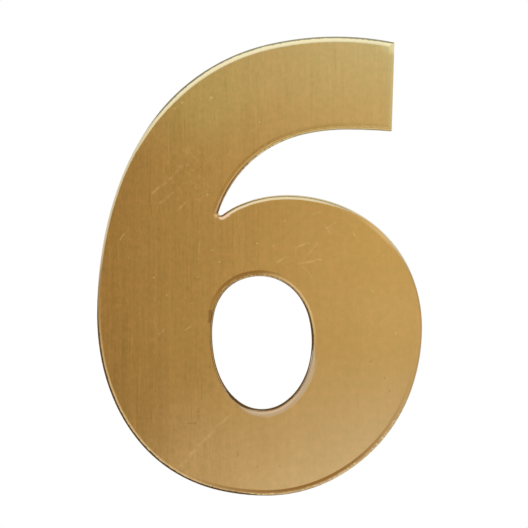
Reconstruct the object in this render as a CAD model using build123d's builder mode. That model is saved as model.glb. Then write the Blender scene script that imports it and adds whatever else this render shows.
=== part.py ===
from build123d import *
import os
from math import cos, radians, sin, sqrt, tan

# House number "6": one solid brass numeral with a flat face, a softly rounded front edge,
# a pear-shaped counter and two blind tapped holes in its back for wall studs.
# +Z is up the wall, -Y faces the street, and the wall lies at Y = 0.
# The origin is on the wall, midway between the two tapped holes.

# Overall size
height = 100.0
width = 70.8
thickness = 5.0
front_round = 1.4
back_break = 0.3

# Widths of the stroke at its level and upright extremes, and the open gap beside the bowl
hook_stroke = 20.1
bowl_stroke = 17.7
foot_stroke = 18.7
left_stroke = 25.0
right_stroke = 24.0
aperture = 14.4

# Cut end of the hook, set back from the widest point of the bowl and leaning a little
terminal_inset = 6.0
terminal_lean = 0.6
hook_top_run = 12.8
hook_top_drop = 1.3
hook_under_run = 9.7
hook_under_drop = 0.4

# Tip of the gap between the spine and the bowl
crotch_inset = 2.0
crotch_drop = 3.8
crotch_radius = 0.6
crotch_lower_angle = -52.0
crotch_upper_angle = 161.0

# Places of the extremes, as shares of the form that each one lies on
bowl_top_share = 0.585
foot_share = 0.52
spine_share = 0.60
right_share = 0.56
counter_top_share = 0.48
counter_bottom_share = 0.50
counter_left_share = 0.57
counter_right_share = 0.51

# Fullness of each quarter curve: pull at its level end, then pull at its upright end
spine_fullness = (0.93, 0.23)
left_foot_fullness = (0.76, 0.43)
right_foot_fullness = (0.48, 0.63)
shoulder_fullness = (0.52, 0.62)
counter_top_right_fullness = (0.55, 0.63)
counter_bottom_right_fullness = (0.57, 0.55)
counter_bottom_left_fullness = (0.60, 0.57)
counter_top_left_fullness = (0.42, 0.80)

# Fullness of the two lips of the gap: pull at the level end, then pull at the tip
lower_lip_fullness = (0.44, 0.24)
upper_lip_fullness = (0.71, 0.24)

# Number of stretches that each curve is cut in, the spine and left foot being the long ones
stretch_count = 2
long_stretch_count = 3

# Blind M4 holes in the back, one near each end
tap_drill_diameter = 3.3
tap_mouth_diameter = 4.3
drill_point_angle = 118.0
hole_floor = 1.5
hole_inset = 10.0

# Extremes of the outline, each as (x, z)
top = height / 2
bottom = -height / 2
left = -width / 2
right = width / 2
hook_underside = top - hook_stroke
bowl_top = hook_underside - aperture
bowl_height = bowl_top - bottom
terminal_top = (right - terminal_inset, top - hook_top_drop)
terminal_bottom = (terminal_top[0] - terminal_lean, hook_underside - hook_under_drop)
hook_crest = (terminal_top[0] - hook_top_run, top)
hook_arch = (terminal_bottom[0] - hook_under_run, hook_underside)
spine_side = (left, bottom + spine_share * bowl_height)
foot = (left + foot_share * width, bottom)
bowl_side = (right, bottom + right_share * bowl_height)
bowl_crest = (left + bowl_top_share * width, bowl_top)

# Extremes of the counter
counter_left = left + left_stroke
counter_right = right - right_stroke
counter_top = bowl_top - bowl_stroke
counter_bottom = bottom + foot_stroke
counter_width = counter_right - counter_left
counter_height = counter_top - counter_bottom
counter_crest = (counter_left + counter_top_share * counter_width, counter_top)
counter_base = (counter_left + counter_bottom_share * counter_width, counter_bottom)
counter_left_side = (counter_left, counter_bottom + counter_left_share * counter_height)
counter_right_side = (counter_right, counter_bottom + counter_right_share * counter_height)

# Tip of the gap, a small round that both lips run into
crotch = (counter_left + crotch_inset, bowl_top - crotch_drop)
crotch_sweep = crotch_upper_angle - crotch_lower_angle - 360

# Tapped holes, measured from the back
tap_radius = tap_drill_diameter / 2
mouth_radius = tap_mouth_diameter / 2
mouth_depth = mouth_radius - tap_radius
hole_depth = thickness - hole_floor
point_depth = tap_radius / tan(radians(drill_point_angle / 2))
hole_heights = (bottom + hole_inset, top - hole_inset)


def quarter(level, upright, fullness):
    """Curve from an extreme with a level tangent to one with an upright tangent."""
    level_pull, upright_pull = fullness
    return Bezier(
        level,
        (level[0] + level_pull * (upright[0] - level[0]), level[1]),
        (upright[0], upright[1] + upright_pull * (level[1] - upright[1])),
        upright,
        mode=Mode.PRIVATE,
    )


def lip(level, tip_angle, turn, fullness):
    """Curve from a level extreme to the round at the tip, which it meets at tip_angle."""
    level_pull, tip_pull = fullness
    out = (cos(radians(tip_angle)), sin(radians(tip_angle)))
    end = (crotch[0] + crotch_radius * out[0], crotch[1] + crotch_radius * out[1])
    run = level[0] - crotch[0]
    return Bezier(
        level,
        (level[0] - level_pull * run, level[1]),
        (end[0] - turn * tip_pull * run * out[1], end[1] + turn * tip_pull * run * out[0]),
        end,
        mode=Mode.PRIVATE,
    )


def arcs_along(curve, count):
    """Follow a curve with arcs: two to each stretch, with one tangent where they join."""
    for stretch in range(count):
        start_share = stretch / count
        end_share = (stretch + 1) / count
        start, end = curve @ start_share, curve @ end_share
        start_way, end_way = curve % start_share, curve % end_share
        chord = end - start
        along = chord.dot(start_way + end_way)
        turn = 2 * (1 - start_way.dot(end_way))
        reach = (sqrt(along**2 + turn * chord.dot(chord)) - along) / turn
        join = (start + end + (start_way - end_way) * reach) * 0.5
        first_arc = TangentArc(start, join, tangent=start_way)
        TangentArc(join, end, tangent=first_arc % 1)


# Numeral plate, drawn on the wall plane and thickened towards the street
with BuildPart() as numeral:
    with BuildSketch(Plane.XZ):
        with BuildLine():
            Line(terminal_bottom, terminal_top)
            TangentArc(hook_crest, terminal_top, tangent=(1, 0))
            arcs_along(quarter(hook_crest, spine_side, spine_fullness), long_stretch_count)
            arcs_along(quarter(foot, spine_side, left_foot_fullness), long_stretch_count)
            arcs_along(quarter(foot, bowl_side, right_foot_fullness), stretch_count)
            arcs_along(quarter(bowl_crest, bowl_side, shoulder_fullness), stretch_count)
            arcs_along(lip(bowl_crest, crotch_lower_angle, 1, lower_lip_fullness), stretch_count)
            CenterArc(crotch, crotch_radius, crotch_lower_angle, crotch_sweep)
            arcs_along(lip(hook_arch, crotch_upper_angle, -1, upper_lip_fullness), stretch_count)
            TangentArc(hook_arch, terminal_bottom, tangent=(1, 0))
        make_face()
        with BuildLine():
            arcs_along(quarter(counter_crest, counter_right_side, counter_top_right_fullness), stretch_count)
            arcs_along(quarter(counter_base, counter_right_side, counter_bottom_right_fullness), stretch_count)
            arcs_along(quarter(counter_base, counter_left_side, counter_bottom_left_fullness), stretch_count)
            arcs_along(quarter(counter_crest, counter_left_side, counter_top_left_fullness), stretch_count)
        make_face(mode=Mode.SUBTRACT)
    extrude(amount=thickness)

    # Rounded rim of the face, and a light break on the back edge
    front_face = numeral.faces().sort_by(Axis.Y)[0]
    fillet(front_face.edges(), radius=front_round)
    back_face = numeral.faces().sort_by(Axis.Y)[-1]
    chamfer(back_face.edges(), length=back_break)

    # Tapped holes with a chamfered mouth and the cone that the drill leaves
    for hole_height in hole_heights:
        with BuildSketch(Plane.XY.offset(hole_height)):
            with BuildLine():
                Polyline(
                    (0, 0),
                    (mouth_radius, 0),
                    (tap_radius, -mouth_depth),
                    (tap_radius, -hole_depth),
                    (0, -hole_depth - point_depth),
                    close=True,
                )
            make_face()
        revolve(axis=Axis((0, 0, hole_height), (0, 1, 0)), mode=Mode.SUBTRACT)

numeral.part.label = "numeral"

os.makedirs("parts", exist_ok=True)
export_step(numeral.part, "parts/numeral.step")
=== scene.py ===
import math

import bmesh
import bpy
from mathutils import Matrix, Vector


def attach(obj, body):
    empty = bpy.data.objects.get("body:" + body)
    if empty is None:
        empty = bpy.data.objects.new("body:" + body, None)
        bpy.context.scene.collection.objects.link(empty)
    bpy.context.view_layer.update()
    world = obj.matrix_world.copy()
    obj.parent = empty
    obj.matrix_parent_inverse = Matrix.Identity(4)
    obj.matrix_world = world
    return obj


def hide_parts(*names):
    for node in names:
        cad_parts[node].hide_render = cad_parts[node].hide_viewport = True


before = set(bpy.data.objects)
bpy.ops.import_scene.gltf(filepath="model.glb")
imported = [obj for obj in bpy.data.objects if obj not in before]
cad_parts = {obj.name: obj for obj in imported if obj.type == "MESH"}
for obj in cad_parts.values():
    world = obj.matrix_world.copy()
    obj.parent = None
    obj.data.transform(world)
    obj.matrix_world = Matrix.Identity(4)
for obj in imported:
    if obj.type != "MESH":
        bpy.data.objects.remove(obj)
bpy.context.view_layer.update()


# Numeral: a "6" of solid brass, cut from 5 mm plate, its flat face brushed up and down and its
# front edge rounded over, with painted highlights on the round. Two blind M4 holes are tapped in
# its back for the studs that hold it to the wall, so nothing shows on its face.
class Wire:
    """A socket of a node tree. Arithmetic on it adds Math nodes to the tree."""

    def __init__(self, wiring, socket):
        self.wiring = wiring
        self.socket = socket

    def math(self, operation, *others):
        return self.wiring.math(operation, self, *others)

    def __add__(self, other):
        return self.math("ADD", other)

    def __radd__(self, other):
        return self.wiring.math("ADD", other, self)

    def __sub__(self, other):
        return self.math("SUBTRACT", other)

    def __rsub__(self, other):
        return self.wiring.math("SUBTRACT", other, self)

    def __mul__(self, other):
        return self.math("MULTIPLY", other)

    def __rmul__(self, other):
        return self.wiring.math("MULTIPLY", other, self)

    def __truediv__(self, other):
        return self.math("DIVIDE", other)

    def __rtruediv__(self, other):
        return self.wiring.math("DIVIDE", other, self)

    def __neg__(self):
        return self.math("MULTIPLY", -1.0)

    def __abs__(self):
        return self.math("ABSOLUTE")

    def __gt__(self, other):
        return self.math("GREATER_THAN", other)

    def __lt__(self, other):
        return self.math("LESS_THAN", other)

    def clipped(self):
        """The value, kept between 0 and 1."""
        return self.wiring.math("ADD", self, 0.0, clamp=True)

    def rise(self, start, end):
        """0 at start, 1 at end, and a soft step between them."""
        return self.wiring.node(
            "ShaderNodeMapRange",
            {"interpolation_type": "SMOOTHSTEP"},
            {"Value": self, "From Min": start, "From Max": end},
        )

    def band(self, start, full, fading, end):
        """0 up to start, 1 from full to fading, and 0 again from end on."""
        return self.rise(start, full) * self.rise(end, fading)

    def axis(self, name):
        return self.wiring.node("ShaderNodeSeparateXYZ", {}, {"Vector": self}, name)

    def vector(self, operation, other=None, output=0):
        sockets = {0: self}
        if operation == "SCALE":
            sockets["Scale"] = other
        elif other is not None:
            sockets[1] = other
        return self.wiring.node("ShaderNodeVectorMath", {"operation": operation}, sockets, output)


class Wiring:
    """Adds nodes to one tree and links them."""

    def __init__(self, tree):
        self.tree = tree

    def node(self, kind, settings=None, sockets=None, output=0):
        made = self.tree.nodes.new(kind)
        for name, value in (settings or {}).items():
            setattr(made, name, value)
        for key, value in (sockets or {}).items():
            self.feed(self.find(made.inputs, key), value)
        if not made.outputs:
            return made
        return Wire(self, self.find(made.outputs, output))

    def math(self, operation, *values, clamp=False):
        settings = {"operation": operation, "use_clamp": clamp}
        return self.node("ShaderNodeMath", settings, dict(enumerate(values)))

    def find(self, sockets, key):
        if isinstance(key, int):
            return sockets[key]
        return next(s for s in sockets if key in (s.identifier, s.name))

    def feed(self, socket, value):
        if isinstance(value, Wire):
            self.tree.links.new(value.socket, socket)
        else:
            socket.default_value = value

    def mix(self, share, first, second):
        """Colour that goes from first to second as share goes from 0 to 1."""
        return self.node(
            "ShaderNodeMix",
            {"data_type": "RGBA"},
            {"Factor_Float": share, "A_Color": first, "B_Color": second},
            "Result_Color",
        )

    def noise(self, place, scale, detail=2.0, roughness=0.5):
        return self.node(
            "ShaderNodeTexNoise",
            {},
            {"Vector": place, "Scale": scale, "Detail": detail, "Roughness": roughness},
            "Fac",
        )


def new_material(name):
    material = bpy.data.materials.new(name)
    material.use_nodes = True
    material.node_tree.nodes.clear()
    return material, Wiring(material.node_tree)


brass, w = new_material("brushed_brass")

# Places are in millimetres from the middle of the back: x to the right, z up, depth out of the wall
MM_PER_METRE = 1000.0
ACROSS_FACE = (1.0, 0.0, 1.0)

place = w.node("ShaderNodeTexCoord", output="Object").vector("SCALE", MM_PER_METRE)
flat_place = place.vector("MULTIPLY", ACROSS_FACE)
x = place.axis("X")
z = place.axis("Z")
depth = -place.axis("Y")

# How far the surface has turned away from the face, 0 on it and 1 on the walls, and to which side
outward = w.node("ShaderNodeTexCoord", output="Normal")
out_x, out_z = outward.axis("X"), outward.axis("Z")
turned = (out_x * out_x + out_z * out_z).math("SQRT")
rightward = out_x / (turned + 0.001)
upward = out_z / (turned + 0.001)


def facing(right, up):
    """How squarely the edge looks one way, given as a way of length 1: 1 is straight that way."""
    return rightward * right + upward * up


def oval(centre, half_width, half_height):
    """Place in an oval, across and up as shares of its half sizes, and the square of its reach."""
    across = (x - centre[0]) / half_width
    up = (z - centre[1]) / half_height
    return across, up, across * across + up * up


def together(masks):
    """The strongest of several masks."""
    first, *others = masks
    for mask in others:
        first = first.math("MAXIMUM", mask)
    return first


def painted(ground, *coats):
    """A ground colour with coats over it, each given as its mask and its colour."""
    for mask, colour in coats:
        ground = w.mix(mask, ground, colour)
    return ground


in_counter = oval((0.5, -16.75), 17.0, 21.0)[2].rise(1.1, 0.9)
on_outside = 1.0 - in_counter

# Brush lines run up and down. They stand close together in some places and hardly show in others,
# and the right of the bowl and the foot have been rubbed smooth
LONG_LINES = (2.5, 0.4, 0.11)
SHORT_LINES = (1.9, 0.4, 0.9)
BROAD_LINES = (0.9, 0.2, 0.018)
BRUSHED_SPOTS = (0.3, 0.3, 0.14)

brushed_spots = w.noise(place.vector("MULTIPLY", BRUSHED_SPOTS), 1.0).rise(0.42, 0.66)
rubbed_smooth = x.rise(-8.0, 12.0) * (z.rise(22.0, 12.0) * 0.7 + 0.3)
rubbed_smooth = (rubbed_smooth + z.rise(-22.0, -34.0) * x.rise(-20.0, -6.0) * 0.7).clipped()
long_lines = w.noise(place.vector("MULTIPLY", LONG_LINES), 1.0, detail=1.0)
deep_lines = (long_lines.rise(0.58, 0.74) - long_lines.rise(0.42, 0.26)) * brushed_spots
short_lines = w.noise(place.vector("MULTIPLY", SHORT_LINES), 1.0, 3.0, 0.6) - 0.5
fine_lines = (long_lines - 0.5) * 0.24 + deep_lines * 0.25 + short_lines * 0.8
fine_lines = fine_lines * (1.3 - rubbed_smooth * 0.8)
broad_lines = w.noise(place.vector("MULTIPLY", BROAD_LINES), 1.0) - 0.5
broad_lines = broad_lines * (1.0 - rubbed_smooth * 0.6)

# The face is darkest at the left and brightens to gold at the right, partly from tarnish and partly
# as painted light. Painted highlight makes both ends paler, and the upper left is a little greener
TARNISHED_AND_SHADED = (0.332, 0.174, 0.042, 1.0)
CLEANED_AND_LIT = (0.545, 0.323, 0.092, 1.0)
END_HIGHLIGHT_LOW = (0.64, 0.46, 0.235, 1.0)
END_HIGHLIGHT_HIGH = (0.567, 0.432, 0.176, 1.0)
UNTINTED = (1.0, 1.0, 1.0, 1.0)
GREENISH = (1.0, 1.08, 1.03, 1.0)
FAINTLY_GREEN = (0.955, 1.037, 0.965, 1.0)
FAINTLY_RED = (1.045, 0.963, 1.035, 1.0)

clouds = w.noise(place, 0.09) - 0.5
small_clouds = w.noise(place, 0.6, 3.0, 0.6)
# Darker at the left and brighter at the right: tarnish and painted light
cleaned_and_lit = ((x + 34.0) / 60.0 + clouds * 0.25).clipped()
# Painted highlight: both ends paler, and the lower right a little too
end_highlight = together([(z - 21.0) / 36.0, (-z - 19.0) / 46.0]).clipped() * (cleaned_and_lit * 1.15)
end_highlight = (end_highlight + z.rise(6.0, -14.0) * (x / 36.0).clipped() * 0.12).clipped()
metal = w.mix(cleaned_and_lit, TARNISHED_AND_SHADED, CLEANED_AND_LIT)
metal = w.mix(end_highlight, metal, w.mix(z.rise(0.0, 30.0), END_HIGHLIGHT_LOW, END_HIGHLIGHT_HIGH))
metal = metal.vector("MULTIPLY", w.mix(small_clouds, FAINTLY_GREEN, FAINTLY_RED))
upper_left = oval((-13.0, 37.0), 1.0, 1.0)[2].math("SQRT").rise(16.0, 4.0)
metal = metal.vector("MULTIPLY", w.mix(upper_left, UNTINTED, GREENISH))
brushed = fine_lines * 0.32 + broad_lines * 0.22 + (small_clouds - 0.5) * 0.27
brushed = 1.0 + brushed * (1.15 - cleaned_and_lit * 0.4)
dull = x.rise(-5.0, 22.0) * z.band(-51.0, -41.0, -26.0, -8.0)
dull = dull + x.rise(-14.0, -24.0) * z.rise(-8.0, -22.0)
low_foot = z.rise(-34.0, -46.0)
metal = metal.vector("SCALE", brushed * (1.0 - dull * 0.05 + low_foot * 0.05))

# Scratches and specks are faint, and waver a little. Each scratch is given by its two ends and its
# width, each speck by its middle and its radius
WAVER = 1.2
LONG_SCRATCH = (
    ((-17.2, -43.3), (-9.8, -35.5), 0.6),
    ((-9.8, -35.5), (-6.3, -32.2), 0.4),
)
LIGHT_SCRATCHES = (
    ((-23.2, 15.8), (-20.4, 18.1), 0.42),
    ((-19.6, 18.6), (-16.9, 21.4), 0.22),
    ((-21.7, 13.6), (-18.9, 15.8), 0.36),
    ((-17.6, 12.2), (-16.2, 13.6), 0.42),
    ((-30.4, 5.6), (-29.5, 7.0), 0.36),
    ((-13.2, 5.1), (-13.2, 1.5), 0.26),
    ((-16.3, -13.8), (-14.8, -12.9), 0.26),
    ((-21.9, -14.8), (-20.6, -13.5), 0.26),
    ((11.7, 11.6), (13.2, 11.9), 0.26),
    ((7.4, 3.8), (10.6, 4.9), 0.36),
    ((8.4, 0.4), (13.6, 1.4), 0.30),
    ((3.9, 1.0), (5.8, 1.9), 0.26),
    ((14.3, 8.2), (16.7, 9.5), 0.24),
    ((14.0, 8.9), (15.6, 6.9), 0.22),
    ((10.0, 1.7), (12.6, 4.9), 0.24),
    ((20.2, 7.5), (21.9, 5.3), 0.24),
    ((9.5, -0.3), (11.5, -2.7), 0.22),
)
BRIGHT_SPECKS = (
    ((-10.6, 36.8), 0.36),
    ((-12.6, 36.4), 0.34),
    ((-16.9, 35.7), 0.40),
    ((-18.5, 34.2), 0.34),
    ((6.1, 46.1), 0.30),
    ((0.0, 31.2), 0.30),
    ((-11.4, 15.5), 0.36),
    ((5.6, 9.7), 0.34),
    ((3.0, 4.3), 0.30),
    ((-0.5, 5.1), 0.30),
    ((-8.9, 0.8), 0.32),
    ((-28.2, 1.7), 0.28),
    ((-23.0, -2.5), 0.30),
    ((-10.4, 3.4), 0.28),
    ((-6.5, -2.3), 0.28),
    ((-13.3, -2.3), 0.26),
    ((-20.4, -6.4), 0.28),
    ((-15.0, -8.0), 0.28),
    ((29.5, -14.6), 0.30),
    ((26.9, 2.1), 0.30),
    ((24.7, -5.5), 0.32),
    ((23.2, 33.8), 0.28),
)
DARK_SPECKS = (
    ((-18.5, -35.5), 0.42),
    ((-21.3, -32.2), 0.36),
    ((-13.5, -31.6), 0.36),
    ((-4.6, -40.9), 0.30),
    ((24.3, -20.7), 0.36),
    ((27.1, -24.2), 0.34),
    ((28.2, -27.2), 0.34),
)
BARE_BRASS = (0.90, 0.64, 0.30, 1.0)
PIT_BROWN = (0.16, 0.08, 0.02, 1.0)

sway = w.node("ShaderNodeTexNoise", {}, {"Vector": place, "Scale": 0.3, "Detail": 2.0}, "Color")
sway = sway.vector("SUBTRACT", (0.5, 0.5, 0.5)).vector("SCALE", WAVER)
marked_place = place.vector("ADD", sway).vector("MULTIPLY", ACROSS_FACE)


def scratch(start, end, width):
    """Mask of a straight scratch between two places on the face, each as (x, z)."""
    run = Vector((end[0] - start[0], 0.0, end[1] - start[1]))
    reach = marked_place.vector("SUBTRACT", (start[0], 0.0, start[1]))
    along = (reach.vector("DOT_PRODUCT", tuple(run), "Value") / run.length_squared).clipped()
    settings = {"operation": "SCALE"}
    nearest = w.node("ShaderNodeVectorMath", settings, {0: tuple(run), "Scale": along})
    return reach.vector("DISTANCE", nearest, "Value").rise(width, width * 0.25)


def speck(centre, radius):
    """Mask of a small round mark on the face, its centre as (x, z)."""
    away = marked_place.vector("DISTANCE", (centre[0], 0.0, centre[1]), "Value")
    return away.rise(radius, radius * 0.3)


# Pits are strewn over the face, most of them low down. Scuffs lie together left of the gap
pit_cells = {"Vector": flat_place, "Scale": 0.2}
pit_size = w.node("ShaderNodeTexVoronoi", {}, pit_cells, "Color").axis("X").rise(0.45, 1.0)
pits = w.node("ShaderNodeTexVoronoi", {}, pit_cells, "Distance").rise(0.075, 0.03) * pit_size
scuffs = abs(w.noise(place, 0.5, 1.5) - 0.5).rise(0.04, 0.0) * speck((-14.0, 20.5), 8.5)
patchy = w.noise(place, 1.3).rise(0.35, 0.65)
worn = together([
    scuffs * 0.13,
    together(scratch(*line) for line in LONG_SCRATCH) * 0.13,
    together(scratch(*line) for line in LIGHT_SCRATCHES) * 0.19,
    together(speck(*spot) for spot in BRIGHT_SPECKS) * 0.35,
]) * (patchy * 0.8 + 0.2)
dark_marks = together([
    *(speck(*spot) for spot in DARK_SPECKS),
    scratch((-15.4, -34.2), (-13.7, -34.2), 0.28),
    scratch((16.5, 47.2), (16.5, 42.5), 0.24) * 0.5,
    pits * (z.rise(12.0, -18.0) * 0.7 + 0.3),
])

# Two places are worn pale on the face and on the round alike: the softened upper corner of the hook
# and the tip of the gap, from where a thin line runs up its left lip. At the lower right of the
# counter the round runs out onto the face, shown only as a painted highlight on the face there
SOFT_CORNER = (0.66, 0.57, 0.27, 1.0)
WORN_TIP = (0.70, 0.50, 0.33, 1.0)
WIDE_RIM_HIGHLIGHT = (0.60, 0.43, 0.26, 1.0)

worn_tip = scratch((-8.3, 10.5), (-7.0, 11.2), 0.8)
worn_tip = together([worn_tip, scratch((-9.3, 11.8), (-8.0, 14.9), 0.5) * 0.4])
rim_across, rim_up, rim_out = oval((0.5, -16.46), 12.45, 16.39)
wide_rim_highlight = rim_out.rise(1.035, 0.965) * (rim_across * 0.6 - rim_up * 0.8).rise(0.7, 0.9)
face_colour = painted(
    metal,
    (worn, BARE_BRASS),
    (dark_marks * 0.25, PIT_BROWN),
    (speck((28.6, 48.4), 3.4) * 0.5, SOFT_CORNER),
    (worn_tip * 0.8, WORN_TIP),
    (wide_rim_highlight * 0.75, WIDE_RIM_HIGHLIGHT),
)

# A painted highlight makes the round pale where it looks up and a little to the left: broadly along
# the top and at the bottom of the counter, and in a thinner line down the left side that ends
# halfway
HIGHLIGHT_LOW = (0.505, 0.36, 0.215, 1.0)
HIGHLIGHT_HIGH = (0.73, 0.655, 0.405, 1.0)

ragged = w.noise(place, 1.2, 3.0, 0.6) - 0.5
highlight_colour = w.mix(((z + 31.0) / 79.0).clipped(), HIGHLIGHT_LOW, HIGHLIGHT_HIGH)
toward_light = facing(-0.26, 0.966)
bowl_top = z.band(4.0, 9.0, 17.0, 22.0) * x.rise(-14.0, -8.0)
counter_foot = in_counter * facing(-0.69, 0.72).rise(0.6, 0.95)
highlight_start = 0.68 - toward_light.rise(0.1, 0.5) * 0.12 - toward_light.rise(0.6, 0.92) * 0.55
highlight_start = highlight_start + bowl_top * 0.24 - counter_foot * 0.6
rim_highlight = (turned - highlight_start + ragged * 0.12).rise(0.0, 0.13) * toward_light.rise(0.0, 0.4)
left_side = on_outside * (-rightward).rise(0.7, 0.95)
rim_highlight = rim_highlight * (1.0 - left_side * z.rise(5.0, -5.0) * 0.8)

# Edges that look left and down have a painted highlight line halfway round, as the bowl's right
# shoulder and the lip of the gap have further out. Those that look down have a line of painted
# brown shade close to the face, with painted glints outside it, and that shade is faint under the
# hook
HIGHLIGHT_LINE = (0.92, 0.66, 0.33, 1.0)
LOW_EDGE_SHADE = (0.30, 0.14, 0.032, 1.0)
GLINT = (0.92, 0.76, 0.46, 1.0)

below_hook = z.rise(18.0, 12.0)
shoulder = on_outside * (0.5 - abs(upward - 0.55)).rise(0.12, 0.4) * rightward.rise(0.2, 0.6)
lip = on_outside * facing(0.8, -0.6).rise(0.75, 0.95) * z.rise(10.0, 14.0)
highlight_line = together([
    facing(-0.7, -0.7).rise(0.6, 0.9) * turned.band(0.28, 0.5, 0.66, 0.78),
    shoulder * z.rise(2.0, 8.0) * turned.rise(0.05, 0.5),
    lip * turned.band(0.45, 0.6, 0.75, 0.9) * 0.5,
])
low_edge_shade = facing(0.45, -0.89).rise(0.52, 1.0) * turned.band(0.0, 0.04, 0.25, 0.85)
low_edge_shade = low_edge_shade * (below_hook * 0.85 + 0.15)
low_edge_shade = low_edge_shade * together([in_counter, (-upward).rise(0.5, 0.95) * 0.55 + 0.45])
lip_shade = lip * turned.band(0.0, 0.06, 0.35, 0.6) * (ragged * 1.5 + 0.35)
glints = w.noise(place, 2.0, 2.0, 0.6).rise(0.52, 0.60) * below_hook
glints = glints * upward.rise(-0.3, -0.7) * turned.rise(0.4, 0.7)

# Painted shade darkens the right side of the bowl at its very edge, and the counter has a small
# nick at its left. A painted highlight makes the hook's underside and its cut end a brighter gold
SHADED_SIDE = (0.24, 0.13, 0.05, 1.0)
NICK = (0.16, 0.07, 0.02, 1.0)
HOOK_HIGHLIGHT = (0.86, 0.66, 0.24, 1.0)
CUT_END_HIGHLIGHT = (0.60, 0.52, 0.23, 1.0)
WORN_CORNER = (0.86, 0.80, 0.45, 1.0)

right_edge_shade = on_outside * rightward.rise(0.5, 0.85) * z.rise(24.0, 14.0) * turned.rise(0.6, 0.8)
hook_highlight = upward.rise(-0.6, -0.9) * z.rise(14.0, 19.0)
hook_highlight = hook_highlight * (turned + ragged * 0.3).rise(0.55, 0.75)
cut_end_highlight = rightward.rise(0.8, 0.95) * z.rise(24.0, 30.0)

# A thin uneven line of painted shade lies where the round meets the wall, darker low down: along
# the top, along the lower left and foot, all the way round the counter and faintly under the hook
OUTLINE_SHADE_LOW = (0.11, 0.06, 0.02, 1.0)
OUTLINE_SHADE_HIGH = (0.30, 0.28, 0.18, 1.0)

top_outline_shade = toward_light.rise(0.68, 0.86) * z.rise(22.0, 32.0)
foot_outline_shade = facing(-0.75, -0.66).rise(0.58, 0.78) * z.rise(4.0, -18.0) * 1.05
base_outline_shade = upward.rise(-0.8, -0.98) * z.rise(-35.0, -42.0) * 0.42
hook_outline_shade = upward.rise(-0.3, -0.8) * z.rise(12.0, 18.0) * x.rise(14.0, 6.0)
hook_outline_shade = hook_outline_shade * ragged.rise(0.0, 0.12) * 0.5
hook_outline_shade = together([hook_outline_shade, upward.rise(-0.85, -0.98) * z.rise(20.0, 26.0) * 0.22])
counter_outline_shade = in_counter * (
    0.26
    + upward.rise(-0.98, -0.85) * 0.13
    + upward * 0.08
    + rightward * 0.05
    + speck((-4.6, -29.4), 4.0) * 0.5
    + facing(-0.7, -0.7).rise(0.75, 1.0) * 0.16
    - abs(rightward).rise(0.8, 1.0) * 0.18
) + counter_foot * 0.25
outline_shade_reach = together([top_outline_shade, foot_outline_shade, counter_outline_shade, hook_outline_shade, base_outline_shade])
outline_shade = (turned - 1.03 + outline_shade_reach * 0.34 + ragged * outline_shade_reach * 0.3).rise(-0.05, 0.05)
outline_shade_colour = w.mix(z.rise(10.0, 35.0) * (x.rise(-16.0, 2.0) * 0.3 + 0.7), OUTLINE_SHADE_LOW, OUTLINE_SHADE_HIGH)
# Over the rim's metal go painted highlights, painted shade and painted glints, and the nick and
# wear
rim_colour = painted(
    metal,
    (highlight_line * 0.5, HIGHLIGHT_LINE),
    (together([low_edge_shade, lip_shade]), LOW_EDGE_SHADE),
    (right_edge_shade * 0.4, SHADED_SIDE),
    (scratch((-10.7, -9.9), (-10.8, -12.2), 0.6) * 0.55, NICK),
    (rim_highlight, highlight_colour),
    (hook_highlight * 0.6, HOOK_HIGHLIGHT),
    (cut_end_highlight * 0.3, CUT_END_HIGHLIGHT),
    (speck((29.4, 48.4), 3.0) * 0.6, WORN_CORNER),
    (worn_tip * 0.9, WORN_TIP),
    (glints * (0.65 - in_counter * 0.3), GLINT),
    (outline_shade, outline_shade_colour),
)

# The walls are as they were cut, duller than the face, and darkened by painted shade near the
# front, the counter's right side least of all its walls. The back was only ground flat, from side
# to side
CUT_DARK = (0.34, 0.22, 0.085, 1.0)
CUT_PALE = (0.48, 0.34, 0.15, 1.0)
GROUND_DARK = (0.27, 0.165, 0.055, 1.0)
GROUND_PALE = (0.47, 0.31, 0.12, 1.0)
GROUND_LINES = (0.12, 1.0, 2.4)
FACE_DEPTH = 5.0
ROUND_END = 3.6
BACK_BREAK = 0.3

face = depth.rise(FACE_DEPTH - 0.01, FACE_DEPTH - 0.0005)
wall = depth.rise(ROUND_END + 0.02, ROUND_END - 0.1)
back = depth.rise(BACK_BREAK + 0.02, 0.02)
counter_wall = in_counter * (1.0 - (-rightward).rise(0.75, 1.0) * 0.6)
wall_shade = (outline_shade_reach + counter_wall).clipped() * depth.rise(0.6, 2.4)
wall_colour = w.mix(wall_shade, w.mix(fine_lines + 0.5, CUT_DARK, CUT_PALE), outline_shade_colour)
ground_lines = w.noise(place.vector("MULTIPLY", GROUND_LINES), 1.0, 3.0, 0.6)
back_colour = w.mix(ground_lines, GROUND_DARK, GROUND_PALE)
colour = painted(rim_colour, (wall, wall_colour), (back, back_colour), (face, face_colour))

# The round is a little smoother than the brushed face. The painted shade line is matt, and so in
# part is metal that was never polished
RELIEF_DEPTH = 0.00001

roughness = (0.34 + fine_lines * 0.12) * face + (0.24 + wall * 0.24) * (1.0 - face)
skin = w.node(
    "ShaderNodeBump",
    {},
    {"Strength": 0.35, "Distance": RELIEF_DEPTH, "Height": fine_lines * face - dark_marks * 2.0},
    "Normal",
)
shine = w.node(
    "ShaderNodeBsdfPrincipled",
    {},
    {"Base Color": colour, "Metallic": 1.0, "Roughness": roughness, "Normal": skin},
    "BSDF",
)
matt = w.node(
    "ShaderNodeBsdfPrincipled",
    {},
    {"Base Color": colour, "Metallic": 0.0, "Roughness": 1.0, "Specular IOR Level": 0.0},
    "BSDF",
)
matt_share = outline_shade + (together([wall_shade, 0.5]) - outline_shade) * wall
matt_share = matt_share * (1.0 - face)
surface = w.node("ShaderNodeMixShader", {}, {0: matt_share, 1: shine, 2: matt})
w.node("ShaderNodeOutputMaterial", {}, {"Surface": surface})


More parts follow.
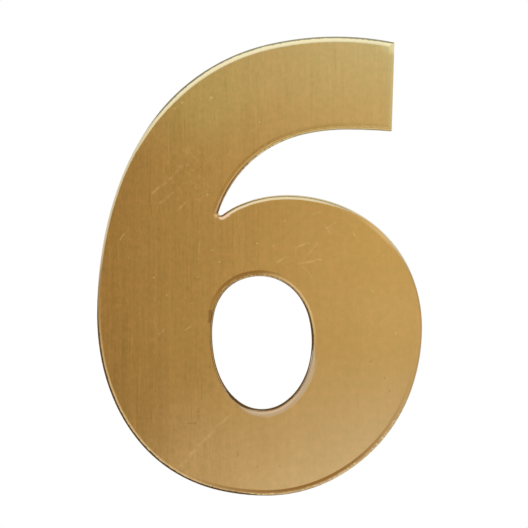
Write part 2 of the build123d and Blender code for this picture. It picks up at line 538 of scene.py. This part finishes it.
# The shape is a copy of the plate's own solid, its doubled corners merged and the plain wall of
# each tapped hole made again as rings that the M4 thread can be cut in. Sizes are in metres
MERGE_DISTANCE = 1e-6
LEVEL_SLACK = 2e-5
RADIUS_SLACK = 1.01
TAP_SPACING = 0.08
CORE_RADIUS = 0.00165
GROOVE_DEPTH = 0.00028
THREAD_PITCH = 0.0007
THREAD_START = 0.0005
THREAD_END = 0.0035
RINGS_PER_TURN = 8


def hole_rings(mesh, hole_height):
    """Cut the straight wall of one hole in rings, close enough to carry a thread."""

    def angle(v):
        return math.atan2(v.co.z - hole_height, v.co.x)

    def radius(v):
        return math.hypot(v.co.x, v.co.z - hole_height)

    near = [v for v in mesh.verts if radius(v) < CORE_RADIUS * RADIUS_SLACK]
    mouth = [v for v in near if abs(v.co.y + THREAD_START) < LEVEL_SLACK]
    end = [v for v in near if abs(v.co.y + THREAD_END) < LEVEL_SLACK]
    mouth.sort(key=angle)
    end.sort(key=angle)
    mouth_points, end_points = set(mouth), set(end)
    both = mouth_points | end_points
    wall_faces = [
        f for f in mesh.faces
        if both.issuperset(f.verts)
        and not mouth_points.issuperset(f.verts)
        and not end_points.issuperset(f.verts)
    ]
    bmesh.ops.delete(mesh, geom=wall_faces, context="FACES_KEEP_BOUNDARY")
    count = round((THREAD_END - THREAD_START) / THREAD_PITCH * RINGS_PER_TURN)
    rings = [mouth]
    for step in range(1, count):
        share = step / count
        rings.append([mesh.verts.new(a.co.lerp(b.co, share)) for a, b in zip(mouth, end)])
    rings.append(end)
    for upper, lower in zip(rings, rings[1:]):
        for i in range(len(upper)):
            j = (i + 1) % len(upper)
            mesh.faces.new((upper[i], upper[j], lower[j], lower[i]))


def thread_tree():
    """Tree that cuts a right-handed thread in the straight walls of the two holes."""
    tree = bpy.data.node_groups.new("tapped_thread", "GeometryNodeTree")
    sizes = {
        "Hole spacing": TAP_SPACING,
        "Core radius": CORE_RADIUS,
        "Groove depth": GROOVE_DEPTH,
        "Pitch": THREAD_PITCH,
        "Thread start": THREAD_START,
        "Thread end": THREAD_END,
    }
    tree.interface.new_socket("Geometry", in_out="INPUT", socket_type="NodeSocketGeometry")
    for name, value in sizes.items():
        socket = tree.interface.new_socket(name, in_out="INPUT", socket_type="NodeSocketFloat")
        socket.default_value = value
    tree.interface.new_socket("Brass", in_out="INPUT", socket_type="NodeSocketMaterial")
    tree.interface.new_socket("Geometry", in_out="OUTPUT", socket_type="NodeSocketGeometry")
    g = Wiring(tree)
    group_input = g.node("NodeGroupInput").socket.node
    given = {socket.name: Wire(g, socket) for socket in group_input.outputs if socket.name}

    here = g.node("GeometryNodeInputPosition")
    across, inward, up = here.axis("X"), -here.axis("Y"), here.axis("Z")
    centre = up.math("SIGN") * given["Hole spacing"] * 0.5
    rise = up - centre
    radius = (across * across + rise * rise).math("SQRT")
    turn = rise.math("ARCTAN2", across) / (2 * math.pi)
    phase = (inward / given["Pitch"] - turn).math("FRACT")
    groove = (1.0 - abs(phase * 2.0 - 1.0)).rise(0.12, 0.88)
    run_in = ((inward - given["Thread start"]) / given["Pitch"] * 2.0).clipped()
    run_out = ((given["Thread end"] - inward) / given["Pitch"] * 2.0).clipped()
    cut = groove * run_in * run_out * given["Groove depth"]
    stretch = (radius + cut) / radius
    cut_place = g.node(
        "ShaderNodeCombineXYZ",
        {},
        {"X": across * stretch, "Y": -inward, "Z": centre + rise * stretch},
    )
    on_wall = radius < given["Core radius"] * RADIUS_SLACK
    past_mouth = inward > given["Thread start"] + LEVEL_SLACK
    threaded = g.node(
        "GeometryNodeSetPosition",
        {},
        {"Geometry": given["Geometry"], "Selection": on_wall * past_mouth, "Position": cut_place},
    )
    real = g.node("GeometryNodeRealizeInstances", {}, {"Geometry": threaded})
    dressed = g.node("GeometryNodeSetMaterial", {}, {"Geometry": real, "Material": given["Brass"]})
    g.node("NodeGroupOutput", {}, {"Geometry": dressed})
    return tree


# The face and the walls are truly flat and square to each other, so their own faces set the
# normals there, and the round turns smoothly between them
SMOOTH_ANGLE = math.radians(40)
LEVEL_Y = 0.9999
UPRIGHT_Y = 0.001


def set_normals(mesh):
    """Exact normals: flat on the face and the walls, turning smoothly on the round between."""
    mesh.shade_smooth()
    faces_at = [[] for _ in mesh.vertices]
    for polygon in mesh.polygons:
        for v in polygon.vertices:
            faces_at[v].append(polygon)
    normals = []
    for polygon in mesh.polygons:
        for v in polygon.vertices:
            around = [p for p in faces_at[v] if p.normal.angle(polygon.normal, 0.0) < SMOOTH_ANGLE]
            level = [p for p in around if abs(p.normal.y) > LEVEL_Y]
            upright = [p for p in around if abs(p.normal.y) < UPRIGHT_Y]
            kept = level or upright or around
            normals.append(sum((p.normal * p.area**0.5 for p in kept), Vector()).normalized())
    mesh.normals_split_custom_set(normals)


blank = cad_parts["numeral"].data.copy()
shape = bmesh.new()
shape.from_mesh(blank)
bmesh.ops.remove_doubles(shape, verts=shape.verts, dist=MERGE_DISTANCE)
for hole_height in (TAP_SPACING / 2, -TAP_SPACING / 2):
    hole_rings(shape, hole_height)
bmesh.ops.recalc_face_normals(shape, faces=shape.faces)
shape.to_mesh(blank)
shape.free()
blank.materials.clear()
blank.materials.append(brass)

numeral = bpy.data.objects.new("house_numeral", blank)
bpy.context.scene.collection.objects.link(numeral)
thread = numeral.modifiers.new("thread", "NODES")
thread.node_group = thread_tree()
for item in thread.node_group.interface.items_tree:
    if item.name == "Brass":
        thread[item.identifier] = brass
threaded = numeral.evaluated_get(bpy.context.evaluated_depsgraph_get())
finished = bpy.data.meshes.new_from_object(threaded)
numeral.modifiers.remove(thread)
numeral.data = finished
set_normals(finished)
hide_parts("numeral")
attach(numeral, "root")


# Floor: a plain pale disc of card well under the numeral, which catches its soft shadow. It fades
# out towards its rim, so that no edge of it shows.
FLOOR_CENTRE = (0.0, 0.1, -0.1)
FLOOR_RADIUS = 0.13
FLOOR_SIDES = 96
CARD = (0.9, 0.9, 0.89, 1.0)

floor_shape = bmesh.new()
bmesh.ops.create_circle(floor_shape, cap_ends=True, segments=FLOOR_SIDES, radius=FLOOR_RADIUS)
bmesh.ops.translate(floor_shape, verts=floor_shape.verts, vec=FLOOR_CENTRE)
floor_mesh = bpy.data.meshes.new("floor")
floor_shape.to_mesh(floor_mesh)
floor_shape.free()
floor = bpy.data.objects.new("floor", floor_mesh)
bpy.context.scene.collection.objects.link(floor)

pale, w = new_material("pale_floor")
spot = w.node("ShaderNodeTexCoord", output="Object").vector("SUBTRACT", FLOOR_CENTRE)
fade = spot.vector("LENGTH", output="Value").rise(FLOOR_RADIUS * 0.6, FLOOR_RADIUS * 0.98)
card = w.node("ShaderNodeBsdfDiffuse", {}, {"Color": CARD})
clear = w.node("ShaderNodeBsdfTransparent")
blended = w.node("ShaderNodeMixShader", {}, {0: fade, 1: card, 2: clear})
w.node("ShaderNodeOutputMaterial", {}, {"Surface": blended})
floor_mesh.materials.append(pale)


# Light: an even white room that is dimmer towards the ground, and one wide soft lamp above the
# numeral and in front of it, to the left. What the camera sees behind the numeral is plain white.
ROOM_LOW = (0.78, 0.76, 0.74, 1.0)
ROOM_HIGH = (0.98, 0.98, 0.98, 1.0)
WHITE = (1.0, 1.0, 1.0, 1.0)
LAMP_SIZE = 1.2
LAMP_POWER = 1.0
LAMP_PLACE = (-0.25, -0.35, 0.75)

world = bpy.data.worlds.new("studio")
bpy.context.scene.world = world
world.use_nodes = True
world.node_tree.nodes.clear()
w = Wiring(world.node_tree)
way = w.node("ShaderNodeTexCoord", output="Generated")
height = way.axis("Z").rise(-1.0, -0.35)
behind = way.axis("Y").rise(-0.5, 0.1)
camera_ray = w.node("ShaderNodeLightPath", output="Is Camera Ray")
glossy_ray = w.node("ShaderNodeLightPath", output="Is Glossy Ray")
through_ray = w.node("ShaderNodeLightPath", output="Is Transmission Ray")
backdrop = together([camera_ray, together([glossy_ray, through_ray]) * behind])
light = w.mix(backdrop, w.mix(height, ROOM_LOW, ROOM_HIGH), WHITE)
sky = w.node("ShaderNodeBackground", {}, {"Color": light, "Strength": 1.0})
w.node("ShaderNodeOutputWorld", {}, {"Surface": sky})

lamp = bpy.data.lights.new("soft_lamp", "AREA")
lamp.shape = "DISK"
lamp.size = LAMP_SIZE
lamp.energy = LAMP_POWER
lamp_stand = bpy.data.objects.new("soft_lamp", lamp)
lamp_stand.location = LAMP_PLACE
lamp_stand.rotation_euler = (-lamp_stand.location).to_track_quat("-Z", "Y").to_euler()
bpy.context.scene.collection.objects.link(lamp_stand)


# Camera: straight in front of the numeral and a little right of its middle, 0.6 m from the wall,
# with a long lens so that the numeral nearly fills the frame.
FILM_WIDTH = 36.0
LENS_LENGTH = 187.8
CAMERA_PLACE = (0.00096, -0.6036, 0.000457)

lens = bpy.data.cameras.new("camera")
lens.sensor_width = FILM_WIDTH
lens.lens = LENS_LENGTH
camera = bpy.data.objects.new("camera", lens)
camera.location = CAMERA_PLACE
camera.rotation_euler = (math.pi / 2, 0.0, 0.0)
bpy.context.scene.collection.objects.link(camera)
bpy.context.scene.camera = camera
bpy.context.scene.view_settings.view_transform = "Standard"
